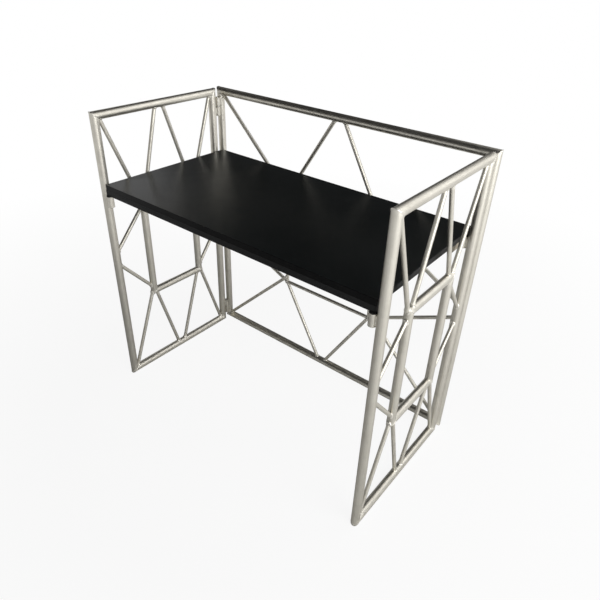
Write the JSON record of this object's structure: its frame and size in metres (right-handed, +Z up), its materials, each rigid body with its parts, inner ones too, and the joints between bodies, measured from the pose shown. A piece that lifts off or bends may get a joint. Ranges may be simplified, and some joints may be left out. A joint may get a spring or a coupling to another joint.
{
  "type": "dj booth",
  "caption": "Folding tubular booth with laced side panels hinged to a wide front panel and a lift-off black tabletop for sound gear.",
  "frame": {"origin": "middle of the footprint, on the floor", "axes": "+X to the right along the front panel as seen from the open side, +Y towards the front panel, +Z up"},
  "size_m": [1.27, 0.653, 1.19],
  "materials": {
    "tube_aluminium": "satin drawn tube",
    "knuckle_aluminium": "turned, welded on",
    "hinge_steel": "bright turned",
    "screw_steel": "zinc plated",
    "board_laminate": "satin black faced board",
    "edge_band": "satin black",
    "near_batten": "painted black",
    "far_batten": "bare plywood",
    "pad_rubber": "matt black"
  },
  "bodies": {
    "front_panel": {"front_bottom_bars": "tube_aluminium", "front_bottom_rail": "tube_aluminium", "front_hinge_knuckles": "knuckle_aluminium", "front_left_post": "tube_aluminium", "front_right_post": "tube_aluminium", "front_side_bars": "tube_aluminium", "front_top_bars": "tube_aluminium", "front_top_rail": "tube_aluminium", "front_window_bottom": "tube_aluminium", "front_window_left": "tube_aluminium", "front_window_right": "tube_aluminium", "front_window_top": "tube_aluminium", "hinge_pins": "hinge_steel", "hinge_washers": "hinge_steel"},
    "left_wing": {"left_bottom_bars": "tube_aluminium", "left_bottom_rail": "tube_aluminium", "left_far_post": "tube_aluminium", "left_hinge_knuckles": "knuckle_aluminium", "left_near_post": "tube_aluminium", "left_rest_pads": "pad_rubber", "left_side_bars": "tube_aluminium", "left_table_rests": "tube_aluminium", "left_top_bars": "tube_aluminium", "left_top_rail": "tube_aluminium", "left_window_bottom": "tube_aluminium", "left_window_far": "tube_aluminium", "left_window_near": "tube_aluminium", "left_window_top": "tube_aluminium"},
    "right_wing": {"right_bottom_bars": "tube_aluminium", "right_bottom_rail": "tube_aluminium", "right_far_post": "tube_aluminium", "right_hinge_knuckles": "knuckle_aluminium", "right_near_post": "tube_aluminium", "right_rest_pads": "pad_rubber", "right_side_bars": "tube_aluminium", "right_table_rests": "tube_aluminium", "right_top_bars": "tube_aluminium", "right_top_rail": "tube_aluminium", "right_window_bottom": "tube_aluminium", "right_window_far": "tube_aluminium", "right_window_near": "tube_aluminium", "right_window_top": "tube_aluminium"},
    "tabletop": {"batten_screws": "screw_steel", "table_board": "board_laminate", "table_edge_band": "edge_band", "table_far_batten": "far_batten", "table_near_batten": "near_batten"}
  },
  "joints": [
    {"name": "left_wing_swing", "type": "hinge", "parent": "front_panel", "child": "left_wing", "pos_m": [-0.6125, 0.284, 0.6], "axis": [0, 0, -1], "range_deg": [0, 75]},
    {"name": "right_wing_swing", "type": "hinge", "parent": "front_panel", "child": "right_wing", "pos_m": [0.6125, 0.284, 0.6], "axis": [0, 0, 1], "range_deg": [0, 75]},
    {"name": "table_lift", "type": "slide", "parent": "front_panel", "child": "tabletop", "axis": [0, 0, 1], "range_m": [0, 0.4]}
  ]
}
